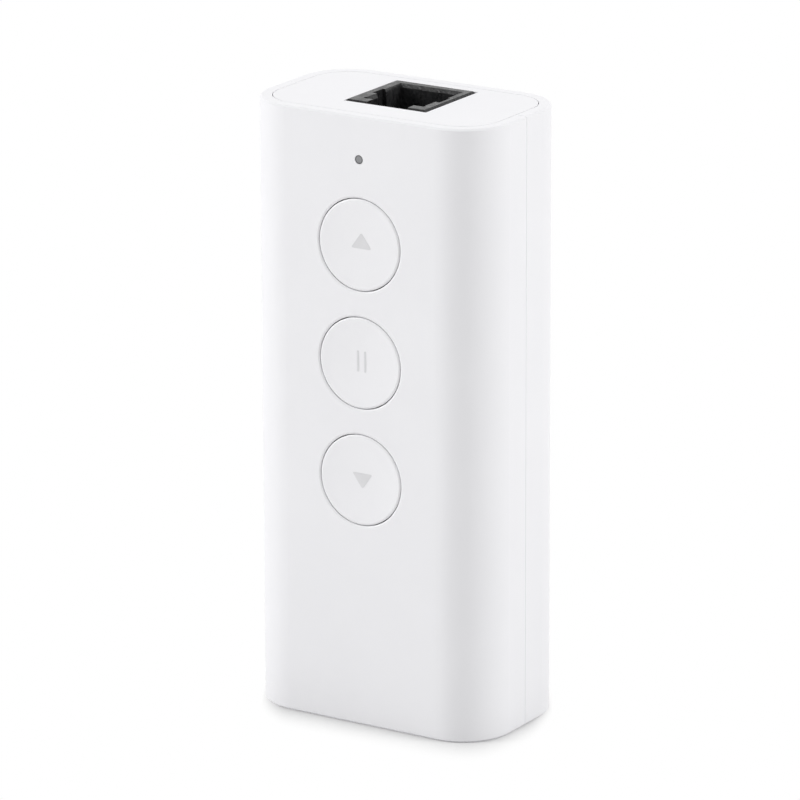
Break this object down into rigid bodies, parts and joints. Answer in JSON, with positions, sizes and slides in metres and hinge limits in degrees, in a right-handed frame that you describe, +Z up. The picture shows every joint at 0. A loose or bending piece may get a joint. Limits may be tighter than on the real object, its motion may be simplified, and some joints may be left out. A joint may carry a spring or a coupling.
{
  "type": "curtain motor",
  "caption": "Slim white three-button controller for a curtain motor, with flush round buttons, a status light and a modular jack in its top plate.",
  "frame": {"origin": "centre of the bottom face, where the controller stands on its end", "axes": "+Z up along the case towards the jack, +X to the right seen from the buttons, +Y from the button face to the back"},
  "size_m": [0.0392, 0.0238, 0.0881],
  "materials": {
    "shell_white": "fine satin moulded plastic",
    "button_white": "fine satin moulded plastic",
    "jack_plastic": "dark moulded plastic",
    "insert_plastic": "dark moulded plastic",
    "contact_gold": "gold plated spring strip",
    "screw_steel": "zinc plated steel",
    "board_green": "green solder mask on glass fibre",
    "switch_black": "black moulded plastic",
    "tinned_metal": "tinned sheet metal",
    "spring_steel": "stainless spring sheet",
    "light_pipe_clear": "smoky clear plastic",
    "led_package": "pale chip light with a clear lens",
    "antenna_gold": "gold plated foil",
    "chip_epoxy": "black moulded epoxy",
    "ferrite_grey": "dark grey ferrite",
    "can_aluminium": "drawn aluminium",
    "fuse_cream": "cream ceramic body",
    "chip_brown": "brown ceramic body"
  },
  "bodies": {
    "housing": {"front_housing": "shell_white", "rear_housing": "shell_white", "top_plate": "shell_white", "case_screws": "screw_steel", "light_pipe": "light_pipe_clear", "main_board": "board_green", "status_led": "led_package", "jack_body": "jack_plastic", "jack_insert": "insert_plastic", "jack_contacts": "contact_gold", "radio_board": "board_green", "radio_shield": "tinned_metal", "antenna_trace": "antenna_gold", "power_inductor": "ferrite_grey", "capacitor_cans": "can_aluminium", "capacitor_feet": "switch_black", "regulator_chip": "chip_epoxy", "line_driver_chip": "chip_epoxy", "chip_legs": "tinned_metal", "controller_chip": "chip_epoxy", "supply_fuse": "fuse_cream", "surge_diodes": "chip_epoxy", "chip_resistors": "chip_epoxy", "chip_capacitors": "chip_brown", "switch_base_up": "switch_black", "switch_cover_up": "tinned_metal", "switch_dome_up": "spring_steel", "switch_legs_up": "tinned_metal", "switch_base_pause": "switch_black", "switch_cover_pause": "tinned_metal", "switch_dome_pause": "spring_steel", "switch_legs_pause": "tinned_metal", "switch_base_down": "switch_black", "switch_cover_down": "tinned_metal", "switch_dome_down": "spring_steel", "switch_legs_down": "tinned_metal"},
    "button_up": {"button_up": "button_white", "switch_plunger_up": "switch_black"},
    "button_pause": {"button_pause": "button_white", "switch_plunger_pause": "switch_black"},
    "button_down": {"button_down": "button_white", "switch_plunger_down": "switch_black"}
  },
  "joints": [
    {"name": "button_up_press", "type": "slide", "parent": "housing", "child": "button_up", "axis": [0, 1, 0], "range_m": [0, 0.0003], "stiffness_N_per_m": 3000, "springref_m": -0.0002, "deforming": ["switch_dome_up"]},
    {"name": "button_pause_press", "type": "slide", "parent": "housing", "child": "button_pause", "axis": [0, 1, 0], "range_m": [0, 0.0003], "stiffness_N_per_m": 3000, "springref_m": -0.0002, "deforming": ["switch_dome_pause"]},
    {"name": "button_down_press", "type": "slide", "parent": "housing", "child": "button_down", "axis": [0, 1, 0], "range_m": [0, 0.0003], "stiffness_N_per_m": 3000, "springref_m": -0.0002, "deforming": ["switch_dome_down"]}
  ]
}
